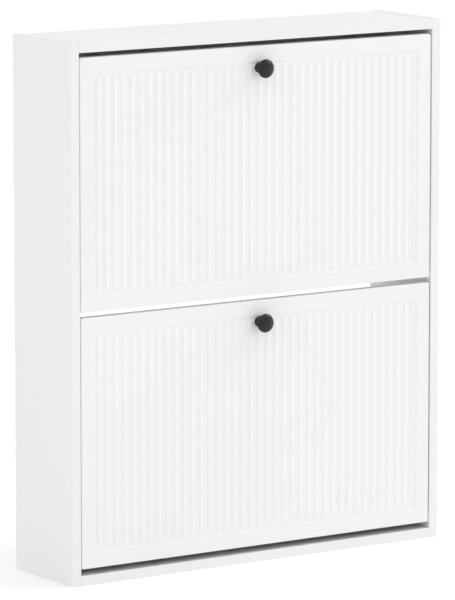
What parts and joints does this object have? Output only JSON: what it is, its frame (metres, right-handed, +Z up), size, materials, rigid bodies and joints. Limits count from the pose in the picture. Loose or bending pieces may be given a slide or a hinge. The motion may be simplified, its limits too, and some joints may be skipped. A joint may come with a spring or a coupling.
{
  "type": "shoe cabinet",
  "caption": "Slim free-standing shoe cabinet with tip-out flaps, fluted fronts, mushroom knobs and trays behind the doors.",
  "frame": {"origin": "centre of the carcass's underside, on the floor, midway between its front and back edges", "axes": "+X to the right seen from the front, +Y from the doors to the back, +Z up"},
  "size_m": [0.8, 0.2166, 0.965],
  "materials": {
    "white_board": "white melamine faced board, satin",
    "white_lacquer": "white lacquered fibreboard, satin",
    "black_knob": "matt black powder coat",
    "zinc_steel": "zinc plated steel",
    "zinc_cast": "die-cast zinc",
    "dowel_wood": "bare beech",
    "white_plastic": "white moulded plastic",
    "grey_rubber": "soft grey rubber"
  },
  "bodies": {
    "cabinet": {"left_side_panel": "white_board", "right_side_panel": "white_board", "top_panel": "white_board", "bottom_panel": "white_board", "top_back_rail": "white_board", "bottom_back_rail": "white_board", "wood_dowels": "dowel_wood", "cam_bolts": "zinc_steel", "stop_block_screws": "zinc_steel", "limit_pegs": "zinc_steel", "cam_nuts": "zinc_cast", "stop_blocks": "white_plastic", "pivot_bushes": "white_plastic", "buffer_pads": "grey_rubber"},
    "upper_flap": {"upper_door": "white_lacquer", "upper_knob": "black_knob", "upper_knob_screw": "zinc_steel", "upper_pivot_pins": "zinc_steel", "upper_angle_brackets": "zinc_steel", "upper_bracket_screws": "zinc_steel", "upper_tray_screws": "zinc_steel", "upper_left_cheek": "white_board", "upper_right_cheek": "white_board", "upper_tray_base": "white_board", "upper_tray_rear_wall": "white_board", "upper_tray_divider": "white_board"},
    "lower_flap": {"lower_door": "white_lacquer", "lower_knob": "black_knob", "lower_knob_screw": "zinc_steel", "lower_pivot_pins": "zinc_steel", "lower_angle_brackets": "zinc_steel", "lower_bracket_screws": "zinc_steel", "lower_tray_screws": "zinc_steel", "lower_left_cheek": "white_board", "lower_right_cheek": "white_board", "lower_tray_base": "white_board", "lower_tray_rear_wall": "white_board", "lower_tray_divider": "white_board"}
  },
  "joints": [
    {"name": "upper_flap_hinge", "type": "hinge", "parent": "cabinet", "child": "upper_flap", "pos_m": [0, -0.085, 0.4962], "axis": [1, 0, 0], "range_deg": [0, 38]},
    {"name": "lower_flap_hinge", "type": "hinge", "parent": "cabinet", "child": "lower_flap", "pos_m": [0, -0.085, 0.0375], "axis": [1, 0, 0], "range_deg": [0, 38]}
  ]
}
